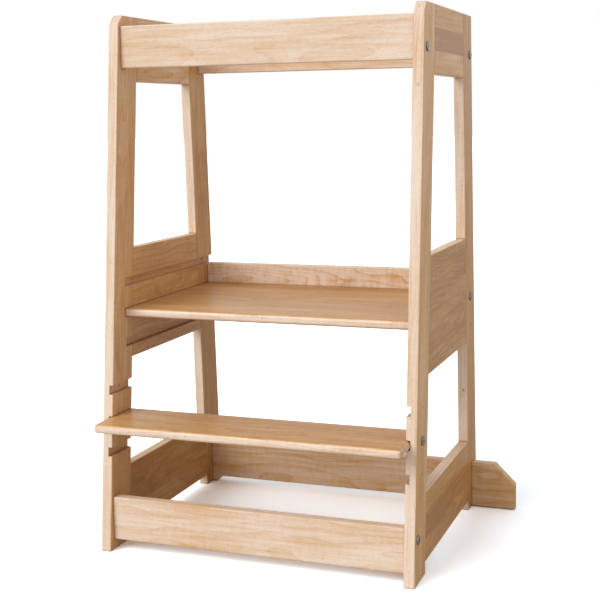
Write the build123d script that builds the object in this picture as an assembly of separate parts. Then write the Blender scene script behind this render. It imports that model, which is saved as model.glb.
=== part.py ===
from build123d import *
import os

# A learning tower of solid beech for a small child. Millimetres: X across, Y from
# front to back, Z up. The side frames are drawn with Y = 0 halfway along their feet.

# Overall sizes
height = 900.0
inner_width = 509.0
foot_depth = 461.6
front_lean = 81.6
back_lean = 46.8

# Boards
board = 18.0
shelf = 15.0
leg_width = 68.0
edge_round = 2.0
joint_chamfer = 1.0
corner_cut = 14.0
corner_round = 4.0

# Panels between the legs of each side frame
base_bottom = 19.0
base_height = 112.0
middle_bottom = 316.0
middle_height = 189.0
top_height = 110.4

# Slots on the inner faces that carry the platform and the step, three levels each
platform_level = 396.5
step_level = 220.0
level_pitch = 52.0
level_count = 3
slot_depth = 7.2
slot_clearance = 0.5
end_clearance = 0.5
slot_setback = 39.3

# Platform, its back stop, and the step
platform_nose_gap = 1.0
platform_inset = 8.8
stop_height = 39.0
stop_end_gap = 0.5
step_overhang = 54.1
step_inset = 2.1
nose_round = 6.0
step_corner_round = 6.0

# Rails across the front and back
top_rail_bottom = 811.0
top_rail_height = 70.4
low_rail_bottom = 18.0
low_rail_height = 73.0
rail_setback = 5.3

# Foot board: it runs through both back legs and stands out past them on each side
foot_reach = 352.4
foot_height = 82.4
foot_lift = 2.0
foot_corner_cut = 37.0
foot_tongue = 22.0
foot_arch_rise = 9.5
foot_arch_inset = 22.0
foot_arch_ramp = 12.0
lap_clearance = 0.3

# Fasteners
bolt_r = 3.0
bolt_hole_r = 3.25
bolt_tip_chamfer = 0.8
head_r = 7.5
head_height = 2.5
head_round = 1.2
socket_across = 4.0
socket_depth = 3.4
nut_r = 5.0
nut_hole_r = 5.1
nut_thread_r = 3.1
nut_skin = 2.0
nut_recess = 1.0
nut_slot_width = 1.2
nut_slot_depth = 1.5
rail_nut_inset = 30.0
shelf_nut_inset = 19.0
bolt_past_nut = 3.0
bolt_hole_past = 4.0
rail_bolt_edge = 19.5
dowel_r = 4.0
dowel_hole_r = 4.05
dowel_chamfer = 1.0
rail_dowel_leg = 10.0
rail_dowel_rail = 20.0
panel_dowel_half = 20.0
dowel_end_gap = 0.5
screw_r = 2.0
screw_hole_r = 2.05
screw_head_r = 4.0
screw_tip = 4.0
screw_sink = 0.6
stop_screw_length = 40.0
stop_screw_count = 4
stop_screw_inset = 60.0
foot_screw_length = 34.0
foot_screw_low = 26.0
foot_screw_high = 60.0
screw_slot_width = 1.0
screw_slot_depth = 1.0

# Places worked out from the sizes above
side_x = inner_width / 2
outer_x = side_x + board
slot_height = shelf + slot_clearance
top_bottom = height - top_height
shelf_length = inner_width + 2 * (slot_depth - end_clearance)
big = 2 * height


def front_edge(z):
    """Front edge of the front leg at a height."""
    return -foot_depth / 2 + front_lean * z / height


def rear_edge(z):
    """Rear edge of the back leg at a height."""
    return foot_depth / 2 - back_lean * z / height


def levels(middle):
    """Centre heights of the slots around their middle one."""
    half = (level_count - 1) / 2
    return [middle + (i - half) * level_pitch for i in range(level_count)]


def front_leg_middle(z):
    return front_edge(z) + leg_width / 2


def back_leg_middle(z):
    return rear_edge(z) - leg_width / 2


platform_bottom = platform_level - slot_height / 2
platform_top = platform_bottom + shelf
step_bottom = step_level - slot_height / 2
slot_front = front_edge(platform_level) + slot_setback
platform_front = slot_front + platform_nose_gap
platform_rear = rear_edge(platform_level) - platform_inset
step_front = front_edge(step_level) - step_overhang
step_rear = front_edge(step_level) + leg_width - step_inset
front_top_y = front_edge(top_rail_bottom + top_rail_height) + rail_setback
back_top_y = rear_edge(top_rail_bottom + top_rail_height) - rail_setback - board
low_rail_y = front_edge(low_rail_bottom + low_rail_height) + rail_setback
foot_rear = rear_edge(foot_lift + foot_height) - foot_tongue
foot_front = foot_rear - board
centre_y = (step_front + rear_edge(0)) / 2


def upright(points, thickness=board):
    """A board that stands in the YZ plane: its outline is extruded along X."""
    return extrude(Plane.YZ * make_face(Polyline(*points, close=True)), amount=thickness)


def cross_board(points, thickness=board):
    """A board that stands in the XZ plane: its outline is extruded along +Y."""
    return extrude(Plane.XZ * make_face(Polyline(*points, close=True)), amount=-thickness)


def block(x, y, z):
    """A box between two corners, each axis given as (low, high)."""
    size = [high - low for low, high in (x, y, z)]
    middle = [(high + low) / 2 for low, high in (x, y, z)]
    return Pos(*middle) * Box(*size)


def rod(radius, start, length, axis):
    """A round rod or hole from start along an axis: X, Y or Z."""
    along = {"X": Plane.YZ, "Y": Plane.XZ, "Z": Plane.XY}[axis]
    sign = -1 if axis == "Y" else 1
    return Pos(*start) * extrude(along * Circle(radius), amount=sign * length)


def both(right):
    """The right-hand solids and their mirror images, as one list."""
    return list(right) + [mirror(one, about=Plane.YZ) for one in right]


def save(name, solids):
    """Writes one node, moved so that Y = 0 is the middle of the whole tower."""
    solids = [Pos(0, -centre_y, 0) * one for one in solids]
    shape = solids[0] if len(solids) == 1 else Compound(children=solids)
    export_step(shape, f"parts/{name}.step")


def save_sides(name, right):
    """Writes a right-hand node and its mirror image on the left."""
    save(f"right_{name}", [right])
    save(f"left_{name}", [mirror(right, about=Plane.YZ)])


def rounded(shape, radius=edge_round):
    """A board with its long edges rounded, all those that don't run through it along X."""
    return fillet(shape.edges().filter_by(Axis.X, reverse=True), radius)


# Fasteners, each drawn along +X or +Z from its seat
def bolt(length):
    """A furniture bolt along X: the head stands out from x = 0, the shank runs to -length."""
    head = extrude(Plane.YZ * Circle(head_r), amount=head_height)
    head = fillet(head.faces().sort_by(Axis.X)[-1].edges(), head_round)
    shank = extrude(Plane.YZ * Circle(bolt_r), amount=-length)
    shank = chamfer(shank.faces().sort_by(Axis.X)[0].edges(), bolt_tip_chamfer)
    hexagon = RegularPolygon(socket_across / 2, 6, major_radius=False)
    socket = extrude(Plane.YZ.offset(head_height) * hexagon, amount=-socket_depth)
    return head + shank - socket


def barrel_nut(length, thread_at):
    """A round nut along Z from z = 0 upwards, with its cross thread along X at a height."""
    body = Cylinder(nut_r, length, align=(Align.CENTER, Align.CENTER, Align.MIN))
    thread = rod(nut_thread_r, (-nut_r * 2, 0, thread_at), nut_r * 4, "X")
    slot = Box(nut_r * 3, nut_slot_width, nut_slot_depth * 2)
    return body - thread - slot


def dowel(length):
    """A round dowel along X, centred, with chamfered ends."""
    body = Rotation(0, 90, 0) * Cylinder(dowel_r, length)
    return chamfer(body.edges().filter_by(GeomType.CIRCLE), dowel_chamfer)


def wood_screw(length):
    """A countersunk screw: its head's top lies at z = 0 and its tip points up."""
    head_depth = screw_head_r - screw_r
    profile = Polyline(
        (0, 0), (screw_head_r, 0), (screw_r, head_depth),
        (screw_r, length - screw_tip), (0, length), close=True)
    body = revolve(Plane.XZ * make_face(profile), Axis.Z)
    slot = Box(screw_head_r * 1.2, screw_slot_width, screw_slot_depth * 2)
    return body - slot - Rotation(0, 0, 90) * slot


def screw_hole(length, sink):
    """The space for a wood screw whose head lies a little below the surface."""
    head_depth = screw_head_r - screw_r
    profile = Polyline(
        (0, -sink), (screw_head_r + lap_clearance, -sink), (screw_head_r + lap_clearance, 0),
        (screw_hole_r, head_depth + lap_clearance), (screw_hole_r, length), (0, length), close=True)
    return revolve(Plane.XZ * make_face(profile), Axis.Z)


# Where the rails are bolted: height and Y of each bolt, and of the dowel beside it
rail_joints = [
    (front_top_y + board / 2, top_rail_bottom + rail_bolt_edge,
     top_rail_bottom + top_rail_height - rail_bolt_edge),
    (back_top_y + board / 2, top_rail_bottom + rail_bolt_edge,
     top_rail_bottom + top_rail_height - rail_bolt_edge),
    (low_rail_y + board / 2, low_rail_bottom + low_rail_height - rail_bolt_edge,
     low_rail_bottom + rail_bolt_edge),
]
rail_bolt_length = board + rail_nut_inset + nut_r + bolt_past_nut
shelf_bolt_length = board + shelf_nut_inset + nut_r + bolt_past_nut - slot_depth + end_clearance
shelf_end = shelf_length / 2
nut_reach = nut_r + bolt_past_nut + bolt_hole_past


def leg_holes(joints):
    """Through holes for bolts and blind holes for dowels in a leg on the right."""
    cuts = []
    for y, bolt_z, dowel_z in joints:
        cuts.append(rod(bolt_hole_r, (side_x - 1, y, bolt_z), board + 2, "X"))
        depth = rail_dowel_leg + dowel_end_gap
        cuts.append(rod(dowel_hole_r, (side_x - 1, y, dowel_z), depth + 1, "X"))
    return cuts


def panel_dowel_heights():
    """Heights of the hidden dowels that join panels and legs, clear of the slots."""
    base = [base_bottom + base_height * share for share in (0.22, 0.78)]
    top = [top_bottom + top_height * share for share in (0.22, 0.78)]
    slots = levels(platform_level)
    between = [(low + high) / 2 for low, high in zip(slots, slots[1:])]
    above = (slots[-1] + slot_height / 2 + middle_bottom + middle_height) / 2
    return base + between + [above] + top


def panel_dowels(right_x, radius, half, trim):
    """Dowels along Y at both ends of every panel of one side frame."""
    rods = []
    for z in panel_dowel_heights():
        for y in (front_edge(z) + leg_width, rear_edge(z) - leg_width):
            stick = Rotation(0, 0, 90) * dowel(2 * half) if trim else rod(
                radius, (0, -half, 0), 2 * half, "Y")
            rods.append(Pos(right_x + board / 2, y, z) * stick)
    return rods


frame_dowels = panel_dowels(side_x, dowel_r, panel_dowel_half, True)
frame_dowel_holes = panel_dowels(side_x, dowel_hole_r, panel_dowel_half + dowel_end_gap, False)


def platform_slots():
    """Slots for the platform: stopped in the front leg and open at the back."""
    cuts = []
    for z in levels(platform_level):
        end = block((side_x - 1, side_x + slot_depth), (slot_front, big),
                    (z - slot_height / 2, z + slot_height / 2))
        cuts.append(end)
    return cuts


def step_slots():
    """Slots for the step: right across the front leg."""
    return [block((side_x - 1, side_x + slot_depth), (-big, front_edge(z) + leg_width + 1),
                  (z - slot_height / 2, z + slot_height / 2)) for z in levels(step_level)]


def bolt_holes(middle, centre_line):
    """Holes for the bolt that holds a shelf, one at every level."""
    return [rod(bolt_hole_r, (side_x, centre_line(z), z), board + 1, "X") for z in levels(middle)]


def front_leg():
    top_front = front_edge(height)
    nose = height - corner_cut
    outline = Polyline(
        (front_edge(0), 0), (front_edge(0) + leg_width, 0), (top_front + leg_width, height),
        (top_front + corner_cut, height), (front_edge(nose), nose), close=True)
    face = make_face(outline)
    cut_corners = face.vertices().sort_by(Axis.Y)[-3:].sort_by(Axis.X)[:2]
    face = fillet(cut_corners, corner_round)
    leg = rounded(Pos(side_x, 0, 0) * extrude(Plane.YZ * face, amount=board))
    leg -= platform_slots() + step_slots()
    leg -= bolt_holes(step_level, front_leg_middle)
    leg -= leg_holes([rail_joints[0], rail_joints[2]])
    return leg - frame_dowel_holes


def back_leg():
    points = [(rear_edge(0) - leg_width, 0), (rear_edge(0), 0),
              (rear_edge(height), height), (rear_edge(height) - leg_width, height)]
    leg = rounded(Pos(side_x, 0, 0) * upright(points))
    leg -= platform_slots()
    leg -= bolt_holes(platform_level, back_leg_middle)
    leg -= leg_holes([rail_joints[1]])
    lap = block((side_x - 1, outer_x + 1), (foot_front - lap_clearance, foot_rear + lap_clearance),
                (-1, foot_lift + foot_height + lap_clearance))
    return leg - lap - foot_screw_holes - frame_dowel_holes


def side_panel(bottom, panel_height, slots=False):
    """A panel between the two legs, glued edge to edge with small V joints."""
    top = bottom + panel_height
    points = [(front_edge(bottom) + leg_width, bottom), (rear_edge(bottom) - leg_width, bottom),
              (rear_edge(top) - leg_width, top), (front_edge(top) + leg_width, top)]
    panel = Pos(side_x, 0, 0) * upright(points)
    outline = panel.edges().filter_by(Axis.X, reverse=True)
    level_edges = outline.filter_by(Axis.Y)
    panel = chamfer([e for e in outline if e not in level_edges], joint_chamfer)
    panel = fillet(panel.edges().filter_by(Axis.Y), edge_round)
    if slots:
        panel -= platform_slots()
    return panel - frame_dowel_holes


def rail(y, bottom, rail_height, joint, nut_from_back):
    """A rail between the side frames, bored at both ends for a bolt, a nut and a dowel."""
    _, bolt_z, dowel_z = joint
    body = block((-side_x, side_x), (y, y + board), (bottom, bottom + rail_height))
    body = fillet(body.edges().filter_by(Axis.X), edge_round)
    cuts = []
    for side in (-1, 1):
        bore = rail_nut_inset + nut_reach
        cuts.append(rod(bolt_hole_r, (side * side_x, y + board / 2, bolt_z), -side * bore, "X"))
        peg = rail_dowel_rail + dowel_end_gap
        cuts.append(rod(dowel_hole_r, (side * side_x, y + board / 2, dowel_z), -side * peg, "X"))
        mouth = y + board if nut_from_back else y
        depth = -(board - nut_skin) if nut_from_back else board - nut_skin
        cuts.append(rod(nut_hole_r, (side * (side_x - rail_nut_inset), mouth, bolt_z), depth, "Y"))
    return body - cuts


def foot_screws():
    """Screws from behind through each leg's tongue into the foot board."""
    places = []
    for z in (foot_screw_low, foot_screw_high):
        places.append(Pos(side_x + board / 2, rear_edge(z) - screw_sink, z) * Rotation(90, 0, 0))
    return places


foot_screw_holes = [
    place * screw_hole(foot_screw_length, screw_sink * 4) for place in foot_screws()]


def foot_board():
    top = foot_lift + foot_height
    arch = foot_lift + foot_arch_rise
    arch_x = side_x - foot_arch_inset
    points = [(-arch_x, arch), (arch_x, arch), (arch_x + foot_arch_ramp, foot_lift),
              (foot_reach, foot_lift), (foot_reach, top - foot_corner_cut),
              (foot_reach - foot_corner_cut, top), (foot_corner_cut - foot_reach, top),
              (-foot_reach, top - foot_corner_cut), (-foot_reach, foot_lift),
              (-arch_x - foot_arch_ramp, foot_lift)]
    body = Pos(0, foot_front, 0) * cross_board(points)
    body = fillet(body.edges().filter_by(Axis.Y, reverse=True), edge_round)
    return body - both(foot_screw_holes)


def shelf_board(front, rear, bottom):
    """A board that slides into the slots of both side frames, with a rounded nose."""
    body = block((-shelf_end, shelf_end), (front, rear), (bottom, bottom + shelf))
    nose = body.edges().filter_by(Axis.X).group_by(Axis.Y)[0]
    return fillet(nose, nose_round)


def shelf_bores(centre_y_at, bottom):
    """Bores at both ends of a shelf for its bolts and the barrel nuts, from below."""
    cuts = []
    for side in (-1, 1):
        start = (side * shelf_end, centre_y_at, bottom + slot_height / 2)
        cuts.append(rod(bolt_hole_r, start, -side * (shelf_nut_inset + nut_reach), "X"))
        mouth = (side * (shelf_end - shelf_nut_inset), centre_y_at, bottom)
        cuts.append(rod(nut_hole_r, mouth, shelf - nut_skin, "Z"))
    return cuts


def stop_screw_places():
    """Screws up through the platform into the back stop."""
    span = inner_width - 2 * stop_screw_inset
    spacing = span / (stop_screw_count - 1)
    return [Pos(i * spacing - span / 2, platform_rear - board / 2, platform_bottom + screw_sink)
            for i in range(stop_screw_count)]


def platform():
    body = shelf_board(platform_front, platform_rear, platform_bottom)
    body -= shelf_bores(back_leg_middle(platform_level), platform_bottom)
    return body - [place * screw_hole(stop_screw_length, screw_sink) for place in stop_screw_places()]


def back_stop():
    half = side_x - stop_end_gap
    body = block((-half, half), (platform_rear - board, platform_rear),
                 (platform_top, platform_top + stop_height))
    top_edges = body.edges().filter_by(Axis.X).group_by(Axis.Z)[-1]
    body = fillet(top_edges, edge_round)
    return body - [place * screw_hole(stop_screw_length, screw_sink) for place in stop_screw_places()]


def step():
    body = shelf_board(step_front, step_rear, step_bottom)
    corners = body.edges().filter_by(Axis.Z).group_by(Axis.Y)[0]
    body = fillet(corners, step_corner_round)
    return body - shelf_bores(front_leg_middle(step_level), step_bottom)


def rail_nuts():
    """Barrel nuts in the rails, along Y, with their slots at the mouth of each bore."""
    nut = barrel_nut(board - nut_skin - nut_recess, board / 2 - nut_recess)
    nuts = []
    for (y, bolt_z, _), from_back in zip(rail_joints, (True, False, True)):
        turn = Rotation(90, 0, 0) if from_back else Rotation(-90, 0, 0)
        mouth = y + board / 2 - nut_recess if from_back else y - board / 2 + nut_recess
        nuts.append(Pos(side_x - rail_nut_inset, mouth, bolt_z) * turn * nut)
    return both(nuts)


def shelf_nuts(y, bottom):
    """Barrel nuts at both ends of a shelf, along Z."""
    nut = barrel_nut(shelf - nut_skin - nut_recess, slot_height / 2 - nut_recess)
    return both([Pos(shelf_end - shelf_nut_inset, y, bottom + nut_recess) * nut])


def rail_dowels():
    """One dowel beside the bolt at each end of the bolted rails."""
    length = rail_dowel_leg + rail_dowel_rail
    middle = side_x + (rail_dowel_leg - rail_dowel_rail) / 2
    return both([Pos(middle, y, dowel_z) * dowel(length) for y, _, dowel_z in rail_joints])


os.makedirs("parts", exist_ok=True)

save_sides("front_leg", front_leg())
save_sides("back_leg", back_leg())
save_sides("top_block", side_panel(top_bottom, top_height))
save_sides("middle_panel", side_panel(middle_bottom, middle_height, slots=True))
save_sides("base_panel", side_panel(base_bottom, base_height))
save("right_panel_dowels", frame_dowels)
save("left_panel_dowels", [mirror(one, about=Plane.YZ) for one in frame_dowels])

save("front_top_rail", [rail(front_top_y, top_rail_bottom, top_rail_height, rail_joints[0], True)])
save("back_top_rail", [rail(back_top_y, top_rail_bottom, top_rail_height, rail_joints[1], False)])
save("front_low_rail", [rail(low_rail_y, low_rail_bottom, low_rail_height, rail_joints[2], True)])
save("foot_board", [foot_board()])

save("platform", [platform()])
save("back_stop", [back_stop()])
save("step", [step()])

for place_name, (y, bolt_z, _) in zip(("front_top", "back_top", "front_low"), rail_joints):
    right_bolt = Pos(outer_x, y, bolt_z) * bolt(rail_bolt_length)
    save(f"{place_name}_rail_bolts", both([right_bolt]))
save("rail_barrel_nuts", rail_nuts())
save("rail_dowels", rail_dowels())

platform_bolt_y = back_leg_middle(platform_level)
step_bolt_y = front_leg_middle(step_level)
save_sides("platform_bolt", Pos(outer_x, platform_bolt_y, platform_level) * bolt(shelf_bolt_length))
save_sides("step_bolt", Pos(outer_x, step_bolt_y, step_level) * bolt(shelf_bolt_length))
save("platform_barrel_nuts", shelf_nuts(platform_bolt_y, platform_bottom))
save("step_barrel_nuts", shelf_nuts(step_bolt_y, step_bottom))
save("back_stop_screws", [place * wood_screw(stop_screw_length) for place in stop_screw_places()])
save("foot_board_screws", both([place * wood_screw(foot_screw_length) for place in foot_screws()]))
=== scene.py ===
"""Looks of a beech learning tower: wood, steel fasteners, studio and camera.

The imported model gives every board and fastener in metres. This script dresses the boards in
lacquered beech whose grain follows each board, makes the threaded bolts anew, and sets a pale
studio round the tower.
"""

import logging
import math
from dataclasses import dataclass
from enum import Enum

import bmesh
import bpy
import numpy as np
from mathutils import Matrix, Vector

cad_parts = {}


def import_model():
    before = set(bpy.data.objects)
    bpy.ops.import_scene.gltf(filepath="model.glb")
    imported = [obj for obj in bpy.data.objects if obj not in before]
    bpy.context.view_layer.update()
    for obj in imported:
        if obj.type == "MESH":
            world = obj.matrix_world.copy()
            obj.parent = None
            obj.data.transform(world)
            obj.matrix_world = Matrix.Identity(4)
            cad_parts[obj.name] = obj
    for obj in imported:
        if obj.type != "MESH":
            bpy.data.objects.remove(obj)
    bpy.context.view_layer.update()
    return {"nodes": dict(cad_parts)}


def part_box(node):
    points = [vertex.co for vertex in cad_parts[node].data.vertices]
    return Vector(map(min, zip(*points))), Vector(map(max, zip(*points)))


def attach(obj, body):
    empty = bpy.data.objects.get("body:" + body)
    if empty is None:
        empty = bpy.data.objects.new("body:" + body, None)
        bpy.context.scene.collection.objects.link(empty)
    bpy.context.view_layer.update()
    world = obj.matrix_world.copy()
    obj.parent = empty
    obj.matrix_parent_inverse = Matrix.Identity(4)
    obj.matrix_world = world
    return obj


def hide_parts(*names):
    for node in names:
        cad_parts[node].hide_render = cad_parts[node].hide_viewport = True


LOG = logging.getLogger("learning_tower")
MM_PER_M = 1000.0
MERGE_GAP = 1e-6
SLIVER = 1e-7
SHARP_ANGLE = math.radians(32)
MID_NOISE = 0.5

Colour = tuple[float, float, float, float]


class Wire:
    """One output of a shader tree, which takes part in Python arithmetic."""

    def __init__(self, tree: "Tree", socket: bpy.types.NodeSocket) -> None:
        """Holds a socket together with the tree that it belongs to."""
        self.tree = tree
        self.socket = socket

    def __add__(self, other: "Wire | float") -> "Wire":
        """The sum of two values."""
        return self.tree.math("ADD", self, other)

    def __radd__(self, other: float) -> "Wire":
        """The sum, with the number on the left."""
        return self.tree.math("ADD", other, self)

    def __sub__(self, other: "Wire | float") -> "Wire":
        """The difference of two values."""
        return self.tree.math("SUBTRACT", self, other)

    def __rsub__(self, other: float) -> "Wire":
        """The difference, with the number on the left."""
        return self.tree.math("SUBTRACT", other, self)

    def __mul__(self, other: "Wire | float") -> "Wire":
        """The product of two values."""
        return self.tree.math("MULTIPLY", self, other)

    def __rmul__(self, other: float) -> "Wire":
        """The product, with the number on the left."""
        return self.tree.math("MULTIPLY", other, self)

    def __truediv__(self, other: "Wire | float") -> "Wire":
        """The quotient of two values."""
        return self.tree.math("DIVIDE", self, other)

    def __pow__(self, other: "Wire | float") -> "Wire":
        """The value raised to a power."""
        return self.tree.math("POWER", self, other)


class Tree:
    """The node tree of a material or a world, with short ways to add nodes to it."""

    def __init__(self, owner: bpy.types.Material | bpy.types.World) -> None:
        """Starts an empty tree on its owner."""
        owner.use_nodes = True
        self.owner = owner
        self.nodes = owner.node_tree.nodes
        self.links = owner.node_tree.links
        self.nodes.clear()

    @classmethod
    def of_material(cls, name: str) -> "Tree":
        """The tree of a new material of that name."""
        return cls(bpy.data.materials.new(name))

    def node(self, kind: str, settings: dict | None = None, inputs: dict | None = None) -> bpy.types.Node:
        """Adds a node.

        Args:
            kind: the node's type.
            settings: its properties, set before its sockets.
            inputs: values or wires for its sockets, by name or place.

        Returns:
            The new node.
        """
        made = self.nodes.new(kind)
        for key, value in (settings or {}).items():
            setattr(made, key, value)
        for key, value in (inputs or {}).items():
            if isinstance(value, Wire):
                self.links.new(value.socket, made.inputs[key])
            else:
                made.inputs[key].default_value = value
        return made

    def out(self, kind: str, settings: dict | None = None, inputs: dict | None = None,
            output: str | int = 0) -> Wire:
        """Adds a node as node() does, and gives the output of that name or place as a wire."""
        return Wire(self, self.node(kind, settings, inputs).outputs[output])

    def math(self, operation: str, *values: "Wire | float", clamp: bool = False) -> Wire:
        """A Math node of that operation on the values."""
        settings = {"operation": operation, "use_clamp": clamp}
        return self.out("ShaderNodeMath", settings, dict(enumerate(values)))

    def step(self, value: Wire, low: float, high: float) -> Wire:
        """Rises smoothly from 0 at low to 1 at high."""
        return self.out("ShaderNodeMapRange", {"interpolation_type": "SMOOTHSTEP"},
                        {"Value": value, "From Min": low, "From Max": high})

    def split(self, vector: Wire) -> tuple[Wire, Wire, Wire]:
        """The three parts of a vector."""
        made = self.node("ShaderNodeSeparateXYZ", None, {0: vector})
        return tuple(Wire(self, socket) for socket in made.outputs)

    def join(self, *parts: "Wire | float") -> Wire:
        """A vector from its three parts."""
        return self.out("ShaderNodeCombineXYZ", None, dict(enumerate(parts)))

    def noise(self, vector: Wire, detail: float = 2.0) -> Wire:
        """Noise about 0, from -0.5 to 0.5, whose lumps are one unit of the vector wide."""
        return self.out("ShaderNodeTexNoise", {"noise_dimensions": "3D"},
                        {"Vector": vector, "Scale": 1.0, "Detail": detail}) - MID_NOISE

    def mix(self, share: "Wire | float", first: "Wire | Colour", second: "Wire | Colour") -> Wire:
        """The first colour where the share is 0, and the second where it is 1."""
        settings = {"data_type": "RGBA", "clamp_factor": True}
        return self.out("ShaderNodeMix", settings, {0: share, 6: first, 7: second}, output=2)

    def finish(self, shader: Wire, kind: str = "ShaderNodeOutputMaterial"
               ) -> bpy.types.Material | bpy.types.World:
        """Sends a shader to an output node of that kind and gives the tree's owner."""
        self.node(kind, None, {"Surface": shader})
        return self.owner


class Grain(Enum):
    """How a board lies: the object's axes that run along the grain, across the face, and through it."""

    FLAT = ((1, 0, 0), (0, 1, 0), (0, 0, 1))
    RAIL = ((1, 0, 0), (0, 0, 1), (0, -1, 0))
    LEG = ((0, 0, 1), (0, 1, 0), (-1, 0, 0))
    PANEL = ((0, 1, 0), (0, 0, 1), (1, 0, 0))


class Side(Enum):
    """The two side frames: the sign of their X."""

    RIGHT = 1
    LEFT = -1


@dataclass(frozen=True)
class Knot:
    """A pin knot: its place in the tower's frame in metres, its radius in mm, and how dark it is.

    It is darkest within core times the radius and fades out at halo times the radius.
    """

    place: tuple[float, float, float]
    radius: float
    depth: float
    core: float = 0.35
    halo: float = 1.5


FRONT_LEG_KNOT = Knot((0.2640, -0.1437, 0.7720), 3.2, 0.30)
BACK_LEG_KNOT = Knot((0.2650, 0.1683, 0.2275), 2.4, 0.7)
PLATFORM_KNOT = Knot((-0.002, -0.1375, 0.3975), 1.2, 0.5)


@dataclass(frozen=True)
class Board:
    """One board and how its wood is cut.

    Sizes are in millimetres, and lean in radians. depth says how deep the tone is, from 0, pale, to 1,
    deep, and wide_face_shade adds to it on the board's wide faces: painted shade, which makes the wide
    faces darker than the edges as the light falls. stave is the width of the glued strips, and contrast
    how far their tones differ. Strip number dark_strip is deeper by strip_depth. figure is how strongly
    the growth lines and the shimmer show and the lines bend, and pith how far behind the face the heart
    of the tree lay.
    """

    node: str
    grain: Grain
    seed: float
    depth: float = 0.0
    # Painted shade: added to the tone's depth on the board's wide faces, so they render darker than the edges.
    wide_face_shade: float = 0.0
    stave: float = 1000.0
    stave_shift: float = 500.0
    contrast: float = 0.0
    dark_strip: float = -1.0
    strip_depth: float = 0.0
    figure: float = 1.0
    lean: float = 0.0
    pith: float = 70.0
    knots: tuple[Knot, ...] = ()

    def turn(self) -> Matrix:
        """The turn from the tower's frame to the board's own: grain, width, thickness."""
        return Matrix(self.grain.value) @ Matrix.Rotation(self.lean, 3, "X")


@dataclass(frozen=True)
class Lumps:
    """Noise drawn out along the grain: length and width of its lumps in mm, and what it adds."""

    length: float
    width: float
    share: float
    detail: float = 2.0


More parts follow.
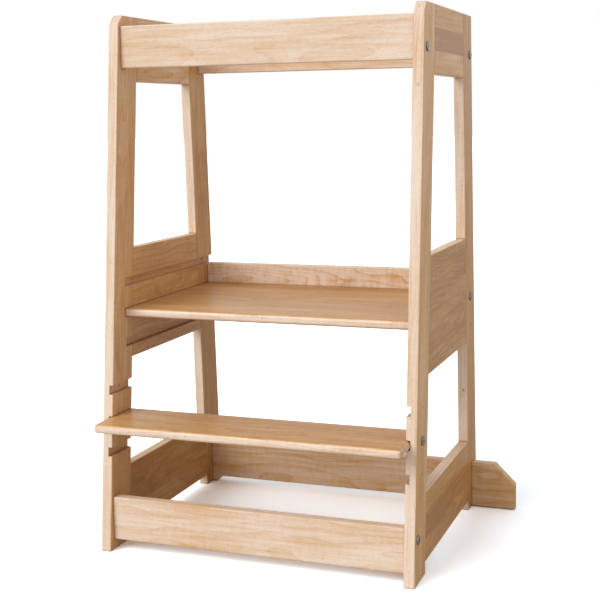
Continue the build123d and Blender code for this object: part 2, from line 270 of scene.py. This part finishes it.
@dataclass(frozen=True)
class Beech:
    """Solid beech under a clear satin lacquer: growth lines, streaks, short flecks and clouds."""

    pale: Colour = (0.865, 0.705, 0.570, 1.0)
    gold: Colour = (0.670, 0.380, 0.155, 1.0)
    deep: Colour = (0.430, 0.200, 0.055, 1.0)
    # Brown of the flecks; it is also the colour of the painted shade in grooves and inside corners.
    fleck_and_shade_brown: Colour = (0.360, 0.165, 0.065, 1.0)
    end_brown: Colour = (0.400, 0.215, 0.095, 1.0)
    knot_brown: Colour = (0.240, 0.105, 0.035, 1.0)
    tone: float = 0.08
    warp: Lumps = Lumps(310.0, 85.0, 42.0)
    cloud: Lumps = Lumps(240.0, 48.0, 0.65)
    streak: Lumps = Lumps(110.0, 5.5, 0.58, 3.0)
    fine: Lumps = Lumps(17.0, 0.8, 0.24)
    shimmer: Lumps = Lumps(9.0, 26.0, 0.20)
    fleck: Lumps = Lumps(5.5, 0.95, 0.30, 1.0)
    fleck_edge: tuple[float, float] = (0.10, 0.22)
    ring_gap: float = 5.5
    ring_share: float = 0.17
    ring_sharpness: float = 3.0
    end_share: float = 0.45
    facing_edge: tuple[float, float] = (0.55, 0.92)
    strip_jump: tuple[float, float, float] = (870.0, 37.0, 55.0)
    seed_jump: float = 131.0
    # Painted shade in grooves and inside corners, from an Ambient Occlusion node: its reach in metres, how
    # strongly it darkens the colour, and its samples.
    groove: float = 0.003
    corner_shade_depth: float = 1.6
    corner_shade_samples: int = 6
    roughness: float = 0.40
    specular: float = 0.24
    coat: float = 0.07
    coat_roughness: float = 0.20
    bump_strength: float = 0.18
    bump_distance: float = 0.0004
    fibre_relief: float = 0.6
    fleck_relief: float = 0.5
    ring_relief: float = 0.35
    fibre_dulling: float = 0.10
    fleck_dulling: float = 0.08
    end_dulling: float = 0.14

    def placed(self, tree: Tree, board: Board) -> Wire:
        """Places a point in the board.

        Args:
            tree: the tree that is being built.
            board: the board.

        Returns:
            The point in millimetres from the board's middle: along the grain, across, through.
        """
        low, high = (np.array(corner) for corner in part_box(board.node))
        turn = board.turn()
        middle = turn @ Vector((low + high) / 2 * MM_PER_M)
        place = tree.out("ShaderNodeTexCoord", output="Object")
        return tree.out("ShaderNodeMapping", {"vector_type": "POINT"}, {
            "Vector": place, "Location": -middle, "Rotation": turn.to_euler("XYZ"),
            "Scale": (MM_PER_M, MM_PER_M, MM_PER_M)})

    def facing(self, tree: Tree, board: Board, row: int) -> Wire:
        """Tells the ends and the wide faces from the rest.

        Args:
            tree: the tree that is being built.
            board: the board.
            row: 0 for the ends, 2 for the wide faces.

        Returns:
            1 where the surface faces squarely that way, and 0 where it doesn't.
        """
        normal = tree.out("ShaderNodeTexCoord", output="Normal")
        share = tree.out("ShaderNodeVectorMath", {"operation": "DOT_PRODUCT"},
                         {0: normal, 1: board.turn()[row]}, output="Value")
        return tree.step(tree.math("ABSOLUTE", share), *self.facing_edge)

    def strips(self, tree: Tree, board: Board) -> tuple[tuple[Wire, Wire, Wire], Wire, Wire]:
        """Cuts the board's width into glued strips, each from another part of the tree.

        The strip's number is floor((across + stave_shift) / stave). White noise of that number
        moves the point along, across and through the wood.

        Args:
            tree: the tree that is being built.
            board: the board.

        Returns:
            The point in the wood, the strip's number, and its chance value from 0 to 1.
        """
        along, across, through = tree.split(self.placed(tree, board))
        strip = tree.math("FLOOR", (across + board.stave_shift) / board.stave)
        chance = tree.out("ShaderNodeTexWhiteNoise", {"noise_dimensions": "1D"}, {"W": strip + board.seed})
        jump = self.strip_jump
        point = (along + chance * jump[0] + board.seed * self.seed_jump, across + chance * jump[1],
                 through + chance * jump[2])
        return point, strip, chance

    @staticmethod
    def lumps(tree: Tree, point: tuple[Wire, Wire, Wire], shape: Lumps) -> Wire:
        """Noise about 0 at a point in the wood, drawn out along the grain."""
        along, across, through = point
        return tree.noise(tree.join(along / shape.length, across / shape.width, through / shape.width),
                          shape.detail)

    def rings(self, tree: Tree, board: Board, point: tuple[Wire, Wire, Wire]) -> Wire:
        """Growth lines, which rise slowly across each year's wood and end sharply.

        The lines are cylinders about the pith: the radius is the square root of across squared
        plus (through + pith) squared, bent by slow noise. The line is the fraction of radius /
        ring_gap to the power of ring_sharpness. So it shows as long arches on the face.

        Args:
            tree: the tree that is being built.
            board: the board.
            point: the point in the wood.

        Returns:
            The line's strength from 0 to 1.
        """
        _, across, through = point
        behind = through + board.pith
        bend = self.lumps(tree, point, self.warp) * self.warp.share * board.figure
        radius = tree.math("SQRT", across * across + behind * behind) + bend
        return tree.math("FRACT", radius / self.ring_gap) ** self.ring_sharpness

    def knots_and_corner_shade(self, tree: Tree, board: Board, colour: Wire) -> Wire:
        """Darkens the colour round each pin knot, and paints shade in fine grooves and inside corners.

        Args:
            tree: the tree that is being built.
            board: the board, with its knots.
            colour: the wood's colour.

        Returns:
            The colour with its knots and its painted shade.
        """
        for knot in board.knots:
            place = tree.out("ShaderNodeTexCoord", output="Object")
            gap = tree.out("ShaderNodeVectorMath", {"operation": "DISTANCE"},
                           {0: place, 1: knot.place}, output="Value")
            far = tree.step(gap * MM_PER_M, knot.core * knot.radius, knot.halo * knot.radius)
            colour = tree.mix((1.0 - far) * knot.depth, colour, self.knot_brown)
        # Painted shade: where the Ambient Occlusion node finds grooves and inside corners, the colour is
        # darkened towards the brown.
        open_share = tree.out("ShaderNodeAmbientOcclusion", {"samples": self.corner_shade_samples},
                              {"Distance": self.groove}, output="AO")
        return tree.mix((1.0 - open_share) * self.corner_shade_depth, colour, self.fleck_and_shade_brown)

    def material(self, board: Board) -> bpy.types.Material:
        """Builds the board's material.

        The tone's depth is a sum of clouds, streaks, fine fibres, shimmer and growth lines, with the
        board's own depth and painted shade on the wide faces. It leads the colour from pale over gold to
        deep. Flecks, end grain, knots and painted shade in grooves and inside corners come on top. Fibres,
        flecks and growth lines also make the relief.

        Args:
            board: the board and how it is cut.

        Returns:
            The finished material.
        """
        tree = Tree.of_material(f"beech_{board.node}")
        point, strip, chance = self.strips(tree, board)
        ring = self.rings(tree, board, point)
        cloud, streak, fine, shimmer, speck = (
            self.lumps(tree, point, shape)
            for shape in (self.cloud, self.streak, self.fine, self.shimmer, self.fleck))
        fleck = tree.step(speck, *self.fleck_edge)
        face = self.facing(tree, board, 2)
        end = self.facing(tree, board, 0)
        dark_strip = tree.math("COMPARE", strip, board.dark_strip, 0.5)
        # The wide faces' term (face times the board's wide-face setting) is painted shade: it deepens their
        # tone to stand in for the shade they get.
        depth = (cloud * self.cloud.share + streak * self.streak.share + fine * self.fine.share
                 + shimmer * (self.shimmer.share * board.figure ** 2)
                 + ring * (self.ring_share * board.figure)
                 + (chance - 0.5) * board.contrast + dark_strip * board.strip_depth
                 + face * board.wide_face_shade + (board.depth + self.tone))
        colour = tree.mix(depth * 2.0, self.pale, self.gold)
        colour = tree.mix(depth * 2.0 - 1.0, colour, self.deep)
        colour = tree.mix(fleck * self.fleck.share, colour, self.fleck_and_shade_brown)
        colour = tree.mix(end * self.end_share, colour, self.end_brown)
        colour = self.knots_and_corner_shade(tree, board, colour)
        height = fine * self.fibre_relief - fleck * self.fleck_relief - ring * self.ring_relief
        bump = tree.out("ShaderNodeBump", None, {
            "Height": height, "Strength": self.bump_strength, "Distance": self.bump_distance})
        rough = (fine * self.fibre_dulling + fleck * self.fleck_dulling + end * self.end_dulling
                 + self.roughness)
        return tree.finish(tree.out("ShaderNodeBsdfPrincipled", None, {
            "Base Color": colour, "Roughness": rough, "Normal": bump, "Coat Weight": self.coat,
            "Coat Roughness": self.coat_roughness, "Specular IOR Level": self.specular}))


@dataclass(frozen=True)
class PlatedSteel:
    """Zinc plate on steel, with fine turning marks and a faint cloud of tarnish.

    cloud, mark, mark_length and grit are the sizes of the noise's lumps in millimetres.
    """

    name: str
    bright: Colour = (0.300, 0.307, 0.318, 1.0)
    dull: Colour = (0.060, 0.061, 0.064, 1.0)
    roughness: float = 0.30
    cloud: float = 3.0
    tarnish: float = 0.7
    tarnish_edge: tuple[float, float] = (-0.15, 0.25)
    mark: float = 0.35
    mark_length: float = 6.0
    grit: float = 0.25
    cloud_detail: float = 3.0
    cloud_dulling: float = 0.18
    grit_dulling: float = 0.12
    grit_relief: float = 0.3
    bump_strength: float = 0.12
    bump_distance: float = 0.0002

    def material(self) -> bpy.types.Material:
        """Builds the material: cloudy tone, and turning marks as noise drawn out round the axis.

        Returns:
            The finished material.
        """
        tree = Tree.of_material(self.name)
        place = tree.out("ShaderNodeTexCoord", output="Object")
        scaled = tree.out("ShaderNodeVectorMath", {"operation": "SCALE"}, {0: place, "Scale": MM_PER_M})
        x, y, z = tree.split(scaled)
        cloud = tree.noise(tree.join(x / self.cloud, y / self.cloud, z / self.cloud), self.cloud_detail)
        marks = tree.noise(tree.join(x / self.mark, y / self.mark_length, z / self.mark_length))
        grit = tree.noise(tree.join(x / self.grit, y / self.grit, z / self.grit))
        colour = tree.mix(tree.step(cloud, *self.tarnish_edge) * self.tarnish, self.bright, self.dull)
        bump = tree.out("ShaderNodeBump", None, {
            "Height": marks + grit * self.grit_relief, "Strength": self.bump_strength,
            "Distance": self.bump_distance})
        rough = cloud * self.cloud_dulling + grit * self.grit_dulling + self.roughness
        return tree.finish(tree.out("ShaderNodeBsdfPrincipled", None, {
            "Base Color": colour, "Metallic": 1.0, "Roughness": rough, "Normal": bump}))


class Workshop:
    """Puts materials on nodes and turns arrays of points into pieces."""

    def __init__(self, nodes: dict[str, bpy.types.Object]) -> None:
        """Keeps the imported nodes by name."""
        self.nodes = nodes

    def dress(self, name: str, material: bpy.types.Material) -> None:
        """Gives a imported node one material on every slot.

        Args:
            name: the node.
            material: its finish.
        """
        piece = self.nodes[name]
        if not piece.material_slots:
            piece.data.materials.append(material)
        for place in piece.material_slots:
            place.material = material
        LOG.info("dressed %s in %s", name, material.name)

    @staticmethod
    def piece(name: str, grids: list[np.ndarray], material: bpy.types.Material) -> bpy.types.Object:
        """Makes one object from closed-round grids of points.

        Each grid has rows of points that run round a closed ring. Neighbouring rows are joined
        by quads, first and last columns too, and rows that shrink to a point are merged.

        Args:
            name: the piece's name.
            grids: arrays of shape (rows, columns, 3), in metres.
            material: its finish.

        Returns:
            The linked object, at the origin.
        """
        points, faces, start = [], [], 0
        for grid in grids:
            rows, columns, _ = grid.shape
            row, column = np.meshgrid(np.arange(rows - 1), np.arange(columns), indexing="ij")
            after = (column + 1) % columns
            quads = np.stack([row * columns + column, row * columns + after,
                              (row + 1) * columns + after, (row + 1) * columns + column], axis=-1)
            points.append(grid.reshape(-1, 3))
            faces.append(quads.reshape(-1, 4) + start)
            start += rows * columns
        mesh = bpy.data.meshes.new(name)
        mesh.from_pydata(np.concatenate(points).tolist(), [], np.concatenate(faces).tolist())
        shell = bmesh.new()
        shell.from_mesh(mesh)
        bmesh.ops.remove_doubles(shell, verts=shell.verts, dist=MERGE_GAP)
        bmesh.ops.dissolve_degenerate(shell, edges=shell.edges, dist=SLIVER)
        bmesh.ops.recalc_face_normals(shell, faces=shell.faces)
        shell.to_mesh(mesh)
        shell.free()
        mesh.shade_smooth()
        mesh.set_sharp_from_angle(angle=SHARP_ANGLE)
        mesh.materials.append(material)
        made = bpy.data.objects.new(name, mesh)
        bpy.context.scene.collection.objects.link(made)
        return made


@dataclass
class SideFrame:
    """Two splayed legs with a top block, a middle panel and a base panel between them."""

    side: Side
    height: float = 0.900
    front_lean: float = 0.0816
    back_lean: float = 0.0468
    front_knots: tuple[Knot, ...] = ()
    back_knots: tuple[Knot, ...] = ()

    def boards(self) -> list[Board]:
        """Lists the boards of this side, each cut from other wood.

        The right side shows its outer faces in the photo, which are deeper than the inner ones that the
        left side shows. That depth is painted shade: the right side's wide faces get more of it than the
        left's.

        Returns:
            Two legs, top block, middle panel, base panel and dowels.
        """
        word = self.side.name.lower()
        right = self.side is Side.RIGHT
        seed = 11.0 if right else 47.0
        # Painted shade: wide faces get a deeper tone than edges, and the right side's outer panel faces more
        # than the left side's inner ones.
        wide = 0.50 if right else 0.30
        front = math.atan2(self.front_lean, self.height)
        back = -math.atan2(self.back_lean, self.height)
        return [
            Board(f"{word}_front_leg", Grain.LEG, seed + 1, wide_face_shade=0.40, lean=front, figure=0.8,
                  knots=self.front_knots),
            Board(f"{word}_back_leg", Grain.LEG, seed + 2, wide_face_shade=0.66, lean=back, figure=0.8,
                  knots=self.back_knots),
            Board(f"{word}_top_block", Grain.PANEL, seed + 3, depth=0.10, wide_face_shade=wide - 0.15,
                  stave=36.8, stave_shift=55.2, contrast=0.10, dark_strip=1.0, strip_depth=0.38),
            Board(f"{word}_middle_panel", Grain.PANEL, seed + 4, depth=0.20, wide_face_shade=wide,
                  stave=63.0, stave_shift=94.5, contrast=0.14, figure=1.2),
            Board(f"{word}_base_panel", Grain.PANEL, seed + 5, depth=0.20, wide_face_shade=0.50,
                  stave=37.4, stave_shift=56.0, contrast=0.16, dark_strip=1.0, strip_depth=0.12),
            Board(f"{word}_panel_dowels", Grain.PANEL, 90.0, depth=0.20),
        ]

    def build(self, shop: Workshop, beech: Beech) -> None:
        """Dresses the boards and the dowels that join them."""
        for board in self.boards():
            shop.dress(board.node, beech.material(board))


@dataclass
class CrossBoards:
    """The rails that hold the side frames together, and the foot board."""

    boards: tuple[Board, ...] = (
        Board("front_top_rail", Grain.RAIL, 3.0, figure=0.7),
        Board("back_top_rail", Grain.RAIL, 5.0, depth=0.12, figure=0.8),
        Board("front_low_rail", Grain.RAIL, 8.0, depth=0.04, figure=0.9),
        Board("foot_board", Grain.RAIL, 13.0, depth=0.22),
        Board("rail_dowels", Grain.RAIL, 91.0, depth=0.20),
    )

    def build(self, shop: Workshop, beech: Beech) -> None:
        """Dresses every rail with its grain along its length."""
        for board in self.boards:
            shop.dress(board.node, beech.material(board))


@dataclass
class Shelves:
    """The platform with its back stop, and the step."""

    # The platform's and step's wide faces get painted shade, a deeper tone than their edges.
    boards: tuple[Board, ...] = (
        Board("platform", Grain.FLAT, 21.0, wide_face_shade=0.66, stave=71.2, stave_shift=178.0,
              contrast=0.16, figure=1.1, knots=(PLATFORM_KNOT,)),
        Board("back_stop", Grain.RAIL, 24.0, figure=1.8, pith=30.0),
        Board("step", Grain.FLAT, 27.0, wide_face_shade=0.54, stave=60.0, stave_shift=60.0, contrast=0.10,
              figure=1.1),
    )

    def build(self, shop: Workshop, beech: Beech) -> None:
        """Dresses the boards that slide into the slots."""
        for board in self.boards:
            shop.dress(board.node, beech.material(board))


@dataclass
class FurnitureBolt:
    """A flat-headed furniture bolt with a hexagon socket and a rolled thread. Metres.

    The bolt is one surface of rows round its axis: socket floor, socket wall, head, shank,
    thread and tip. In the socket the radius is apothem / cos(angle from the nearest flat).
    In the thread it is the crest less a share of the thread's depth, which is a triangle wave
    of the place along the axis less the turn.
    """

    shank: float
    shank_r: float = 0.0030
    head_r: float = 0.0075
    head_height: float = 0.0025
    head_round: float = 0.0012
    socket_apothem: float = 0.0020
    socket_depth: float = 0.0022
    socket_chamfer: float = 0.0003
    socket_cone: float = 0.0004
    flat_share: float = 0.62
    rim: float = 0.00015
    pitch: float = 0.0010
    thread_depth: float = 0.00055
    plain: float = 0.0100
    tip: float = 0.0008
    columns: int = 36
    rows_per_turn: int = 7
    rows_in_round: int = 7

    def head_rows(self, turn: np.ndarray) -> tuple[np.ndarray, np.ndarray]:
        """Works out the rows of socket and head.

        Args:
            turn: the angle of each column about the axis.

        Returns:
            The radius, rows by columns, and the place along the axis of each row.
        """
        sixth = math.pi / 3
        off_flat = (turn + sixth / 2) % sixth - sixth / 2
        hexagon = self.socket_apothem / np.cos(off_flat)
        bend = np.linspace(0, math.pi / 2, self.rows_in_round)
        corner_r = self.head_r - self.head_round * (1 - np.sin(bend))
        corner_x = self.head_height - self.head_round * (1 - np.cos(bend))
        ring = np.ones_like(turn)
        radii = [0 * ring, hexagon, hexagon, hexagon + self.socket_chamfer,
                 self.flat_share * self.head_r * ring]
        floor = self.head_height - self.socket_depth
        places = [floor - self.socket_cone, floor, self.head_height - self.socket_chamfer,
                  self.head_height, self.head_height]
        radii += [r * ring for r in corner_r] + [self.head_r * ring, (self.head_r - self.rim) * ring]
        places += list(corner_x) + [self.rim, 0.0]
        return np.array(radii), np.array(places)

    def shank_rows(self, turn: np.ndarray) -> tuple[np.ndarray, np.ndarray]:
        """Works out the rows of the plain shank, the thread and the tip.

        Args:
            turn: the angle of each column about the axis.

        Returns:
            The radius, rows by columns, and the place along the axis of each row.
        """
        length = self.shank - self.plain - self.tip
        count = int(length / self.pitch * self.rows_per_turn)
        run = np.linspace(0, length, count)
        phase = run[:, None] / self.pitch - turn[None, :] / (2 * math.pi)
        groove = 1 - 2 * np.abs(phase % 1.0 - 0.5)
        fade = np.clip(run / (2 * self.pitch), 0, 1)[:, None]
        thread = self.shank_r - self.thread_depth * groove * fade
        ring = np.ones_like(turn)
        radii = np.vstack([self.shank_r * ring, thread, (self.shank_r - self.tip) * ring, 0 * ring])
        places = np.concatenate([[0.0], -self.plain - run, [-self.shank, -self.shank]])
        return radii, places

    def grid(self, seat: Vector, side: Side) -> np.ndarray:
        """Sets the bolt in the tower: x runs along the axis, y and z are radius times cosine and sine.

        Args:
            seat: the middle of the underside of the head.
            side: the side that the head is on.

        Returns:
            Its points, rows by columns by 3.
        """
        turn = np.linspace(0, 2 * math.pi, self.columns, endpoint=False)
        head_r, head_x = self.head_rows(turn)
        shank_r, shank_x = self.shank_rows(turn)
        radius = np.vstack([head_r, shank_r])
        place = np.concatenate([head_x, shank_x])
        x = seat.x + side.value * np.repeat(place[:, None], self.columns, axis=1)
        return np.stack([x, seat.y + radius * np.cos(turn), seat.z + radius * np.sin(turn)], axis=-1)


@dataclass
class Fasteners:
    """Bolts, barrel nuts and screws, with the length of the bolts' shanks in metres."""

    shelf_shank: float = 0.0383
    rail_shank: float = 0.0560
    shelf_bolts: tuple[str, ...] = ("platform_bolt", "step_bolt")
    rail_bolts: tuple[str, ...] = ("front_top_rail_bolts", "back_top_rail_bolts", "front_low_rail_bolts")
    nuts: tuple[str, ...] = ("rail_barrel_nuts", "platform_barrel_nuts", "step_barrel_nuts")
    screws: tuple[str, ...] = ("back_stop_screws", "foot_board_screws")

    def seat(self, node: str, side: Side, bolt: FurnitureBolt) -> Vector:
        """Finds where the head of a node's bolt rests on the side frame.

        Args:
            node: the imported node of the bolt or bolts.
            side: the side whose bolt is meant.
            bolt: its sizes.

        Returns:
            The middle of the underside of the head.
        """
        low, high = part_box(node)
        outer = high[0] if side is Side.RIGHT else low[0]
        return Vector((outer - side.value * bolt.head_height, (low[1] + high[1]) / 2, (low[2] + high[2]) / 2))

    def replace(self, node: str, body: str, grids: list[np.ndarray], material: bpy.types.Material) -> None:
        """Makes the threaded piece that stands for a node's plain bolts.

        Args:
            node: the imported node.
            body: the body that it rides on.
            grids: the points of each bolt.
            material: its finish.
        """
        piece = Workshop.piece(f"{node}_threaded", grids, material)
        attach(piece, body)
        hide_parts(node)
        LOG.info("made %s with %d faces", piece.name, len(piece.data.polygons))

    def build(self, shop: Workshop) -> None:
        """Makes the bolts and dresses the nuts and screws."""
        plate = PlatedSteel("bright_plate").material()
        for name in self.shelf_bolts:
            bolt = FurnitureBolt(self.shelf_shank)
            for side in Side:
                node = f"{side.name.lower()}_{name}"
                self.replace(node, node, [bolt.grid(self.seat(node, side, bolt), side)], plate)
        for node in self.rail_bolts:
            bolt = FurnitureBolt(self.rail_shank)
            grids = [bolt.grid(self.seat(node, side, bolt), side) for side in Side]
            self.replace(node, "frame", grids, plate)
        nut_steel = PlatedSteel("nut_steel", (0.50, 0.50, 0.51, 1.0), (0.30, 0.30, 0.31, 1.0)).material()
        for node in self.nuts:
            shop.dress(node, nut_steel)
        screw_steel = PlatedSteel("screw_steel", (0.55, 0.50, 0.36, 1.0), (0.36, 0.31, 0.20, 1.0)).material()
        for node in self.screws:
            shop.dress(node, screw_steel)


@dataclass
class Studio:
    """A pale floor under an even sky, a large soft lamp from the front left, and a weak one from the right."""

    floor_half: float = 40.0
    floor_white: Colour = (1.60, 1.72, 1.82, 1.0)
    floor_bounce: Colour = (0.620, 0.600, 0.580, 1.0)
    sky: float = 0.58
    sky_white: Colour = (1.0, 1.0, 1.0, 1.0)
    key_from: tuple[float, float, float] = (-0.50, -0.80, 0.62)
    key_power: float = 1.8
    key_spread: float = math.radians(42)
    fill_from: tuple[float, float, float] = (0.85, -0.25, 0.40)
    fill_power: float = 0.25
    fill_spread: float = math.radians(70)

    def floor(self) -> None:
        """A wide square floor that shows white and bounces a little less light on the wood."""
        tree = Tree.of_material("studio_floor")
        seen = tree.out("ShaderNodeLightPath", output="Is Camera Ray")
        colour = tree.mix(seen, self.floor_bounce, self.floor_white)
        material = tree.finish(tree.out("ShaderNodeBsdfDiffuse", None, {"Color": colour}))
        corners = np.array([(-1, -1, 0), (1, -1, 0), (1, 1, 0), (-1, 1, 0)]) * self.floor_half
        mesh = bpy.data.meshes.new("floor")
        mesh.from_pydata(corners.tolist(), [], [(0, 1, 2, 3)])
        mesh.materials.append(material)
        plane = bpy.data.objects.new("floor", mesh)
        bpy.context.scene.collection.objects.link(plane)

    def sky_light(self) -> None:
        """The world: plain light on the object, and white where the camera or a gloss looks."""
        tree = Tree(bpy.data.worlds.new("studio_sky"))
        rays = tree.node("ShaderNodeLightPath").outputs
        camera, glossy, clear = (
            Wire(tree, rays[f"Is {ray} Ray"]) for ray in ("Camera", "Glossy", "Transmission"))
        shown = tree.math("ADD", camera + glossy, clear, clamp=True)
        strength = tree.out("ShaderNodeMapRange", None, {"Value": shown, "To Min": self.sky})
        back = tree.out("ShaderNodeBackground", None, {"Strength": strength, "Color": self.sky_white})
        bpy.context.scene.world = tree.finish(back, "ShaderNodeOutputWorld")

    @staticmethod
    def lamp(name: str, source: tuple[float, float, float], power: float, spread: float) -> None:
        """Sets a far lamp with soft shadows.

        Args:
            name: the lamp's name.
            source: the direction that the light comes from.
            power: its strength.
            spread: how wide the lamp looks from the tower, in radians.
        """
        light = bpy.data.lights.new(name, "SUN")
        light.energy = power
        light.angle = spread
        made = bpy.data.objects.new(name, light)
        made.rotation_mode = "QUATERNION"
        made.rotation_quaternion = (-Vector(source)).to_track_quat("-Z", "Y")
        bpy.context.scene.collection.objects.link(made)

    def build(self) -> None:
        """Sets the floor, the sky and the lamps."""
        self.floor()
        self.sky_light()
        self.lamp("key", self.key_from, self.key_power, self.key_spread)
        self.lamp("fill", self.fill_from, self.fill_power, self.fill_spread)
        bpy.context.scene.view_settings.view_transform = "Standard"


@dataclass
class PhotoCamera:
    """The camera of the photograph.

    Angles in degrees, place and far in metres, sensor in millimetres, the rest in pixels.
    """

    place: tuple[float, float, float] = (0.7290, -1.9383, 0.7241)
    yaw: float = 20.22
    pitch: float = -5.83
    roll: float = -0.84
    focal: float = 1198.4
    centre: tuple[float, float] = (300.0, 240.0)
    frame: float = 600.0
    sensor: float = 36.0
    far: float = 200.0

    def build(self) -> None:
        """Makes the scene's camera from its viewing direction, roll and image centre."""
        yaw, pitch, roll = (math.radians(angle) for angle in (self.yaw, self.pitch, self.roll))
        ahead = Vector((-math.sin(yaw) * math.cos(pitch), math.cos(yaw) * math.cos(pitch), math.sin(pitch)))
        level = Vector((math.cos(yaw), math.sin(yaw), 0.0))
        upward = level.cross(ahead)
        right = math.cos(roll) * level + math.sin(roll) * upward
        above = math.cos(roll) * upward - math.sin(roll) * level
        data = bpy.data.cameras.new("photo_camera")
        data.sensor_width = self.sensor
        data.lens = self.focal / self.frame * self.sensor
        data.shift_x = (self.frame / 2 - self.centre[0]) / self.frame
        data.shift_y = (self.centre[1] - self.frame / 2) / self.frame
        data.clip_end = self.far
        camera = bpy.data.objects.new("photo_camera", data)
        turn = Matrix((right, above, -ahead)).transposed().to_4x4()
        camera.matrix_world = Matrix.Translation(self.place) @ turn
        bpy.context.scene.collection.objects.link(camera)
        bpy.context.scene.camera = camera


def main() -> None:
    """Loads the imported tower, dresses it and sets the studio."""
    logging.basicConfig(level=logging.INFO, format="%(name)s: %(message)s")
    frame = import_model()
    shop = Workshop(frame["nodes"])
    beech = Beech()
    PhotoCamera().build()
    Studio().build()
    SideFrame(Side.RIGHT, front_knots=(FRONT_LEG_KNOT,), back_knots=(BACK_LEG_KNOT,)).build(shop, beech)
    SideFrame(Side.LEFT).build(shop, beech)
    CrossBoards().build(shop, beech)
    Shelves().build(shop, beech)
    Fasteners().build(shop)


if __name__ == "__main__":
    main()
